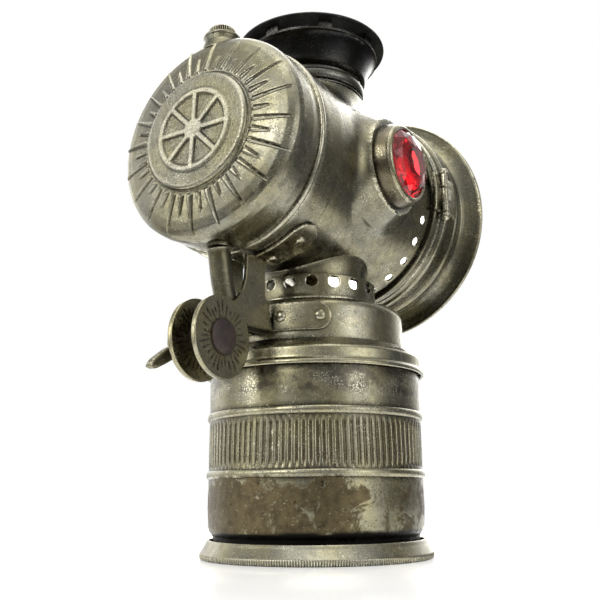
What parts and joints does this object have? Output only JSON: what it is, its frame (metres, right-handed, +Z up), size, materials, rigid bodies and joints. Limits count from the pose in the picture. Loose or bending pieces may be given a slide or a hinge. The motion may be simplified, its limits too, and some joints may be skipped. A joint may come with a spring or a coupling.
{
  "type": "acetylene bicycle lamp",
  "caption": "Upright carbide gas bicycle lamp: fluted can with screw base, horizontal lamp barrel, rear water tank, chimney, side jewels, hinged glazed door and fork bracket.",
  "frame": {"origin": "centre of the flat underside of the base cap", "axes": "+Z up along the can, -Y the way the light goes, hinge and red jewel on -X"},
  "size_m": [0.0822, 0.1095, 0.1651],
  "materials": {
    "nickel_shell": "worn nickel plate over brass, satin, tarnished olive grey",
    "nickel_can": "worn nickel plate, fluted, brown where the plate has gone",
    "nickel_fittings": "tarnished nickel plate on small pressed fittings",
    "sooty_metal": "heat blackened plate",
    "dark_steel": "dark rusted steel",
    "bare_brass": "dull bare brass",
    "steatite": "fired steatite, matt",
    "red_glass": "faceted red glass",
    "green_glass": "faceted green glass",
    "clear_glass": "clear glass",
    "silvered_mirror": "silvered reflector, slightly tarnished",
    "felt": "grey felt",
    "rubber_seal": "old black rubber"
  },
  "bodies": {
    "root": {"barrel": "nickel_shell", "bezel_green": "nickel_fittings", "bezel_red": "nickel_fittings", "bracket_left": "nickel_fittings", "bracket_right": "nickel_fittings", "burner_body": "bare_brass", "burner_tips": "steatite", "carbide_can": "nickel_can", "chimney_base": "nickel_shell", "chimney_bowl": "nickel_shell", "chimney_cage": "sooty_metal", "chimney_cap": "sooty_metal", "clamp_bolt": "dark_steel", "cradle_rivets": "nickel_fittings", "filter_pad": "felt", "front_ring": "nickel_shell", "gallery_ring": "nickel_shell", "gas_grid": "bare_brass", "gas_tube": "bare_brass", "generator_collar": "nickel_shell", "generator_dome": "nickel_shell", "hinge_leaf_fixed": "nickel_fittings", "hinge_pin": "nickel_fittings", "jewel_green": "green_glass", "jewel_red": "red_glass", "neck_saddle": "nickel_shell", "reflector": "silvered_mirror", "strap_rivets": "nickel_fittings", "tank_back": "nickel_shell", "tank_front": "nickel_shell", "tank_seam_ring": "nickel_shell", "valve_gland": "nickel_fittings", "valve_seat": "bare_brass", "water_tube": "nickel_fittings"},
    "cup": {"carbide_cup": "dark_steel"},
    "base": {"base_cap": "nickel_can", "base_gasket": "rubber_seal"},
    "needle": {"valve_needle": "bare_brass"},
    "knob": {"valve_knob": "nickel_fittings"},
    "washer": {"clamp_washer": "nickel_fittings"},
    "nut": {"wing_nut": "nickel_fittings"},
    "door": {"door_hood": "nickel_shell", "lens_seat": "nickel_fittings", "door_lens": "clear_glass", "lens_retainer": "dark_steel", "hinge_leaf_door": "nickel_fittings", "door_catch": "nickel_fittings"}
  },
  "joints": [
    {"name": "base_drop", "type": "slide", "parent": "root", "child": "cup", "axis": [0, 0, -1], "range_m": [0, 0.0041]},
    {"name": "base_turn", "type": "hinge", "parent": "cup", "child": "base", "pos_m": [0, 0, 0], "axis": [0, 0, -1], "range_deg": [0, 720]},
    {"name": "valve_rise", "type": "slide", "parent": "root", "child": "needle", "axis": [0, 0, 1], "range_m": [0, 0.0014]},
    {"name": "valve_turn", "type": "hinge", "parent": "needle", "child": "knob", "pos_m": [0, 0.047, 0.147], "axis": [0, 0, 1], "range_deg": [0, 745]},
    {"name": "clamp_release", "type": "slide", "parent": "root", "child": "washer", "axis": [1, 0, 0], "range_m": [0, 0.00305]},
    {"name": "wing_turn", "type": "hinge", "parent": "washer", "child": "nut", "pos_m": [0.0088, 0.0499, 0.0573], "axis": [1, 0, 0], "range_deg": [0, 1080]},
    {"name": "door_swing", "type": "hinge", "parent": "root", "child": "door", "pos_m": [-0.0359, -0.0244, 0.113], "axis": [0, 0, -1], "range_deg": [0, 110]}
  ],
  "couplings": [
    {"joint": "base_drop", "follows": "base_turn", "m_per_rad": 0.00031831},
    {"joint": "valve_turn", "follows": "valve_rise", "rad_per_m": 8976},
    {"joint": "clamp_release", "follows": "wing_turn", "m_per_rad": 0.00015915}
  ]
}
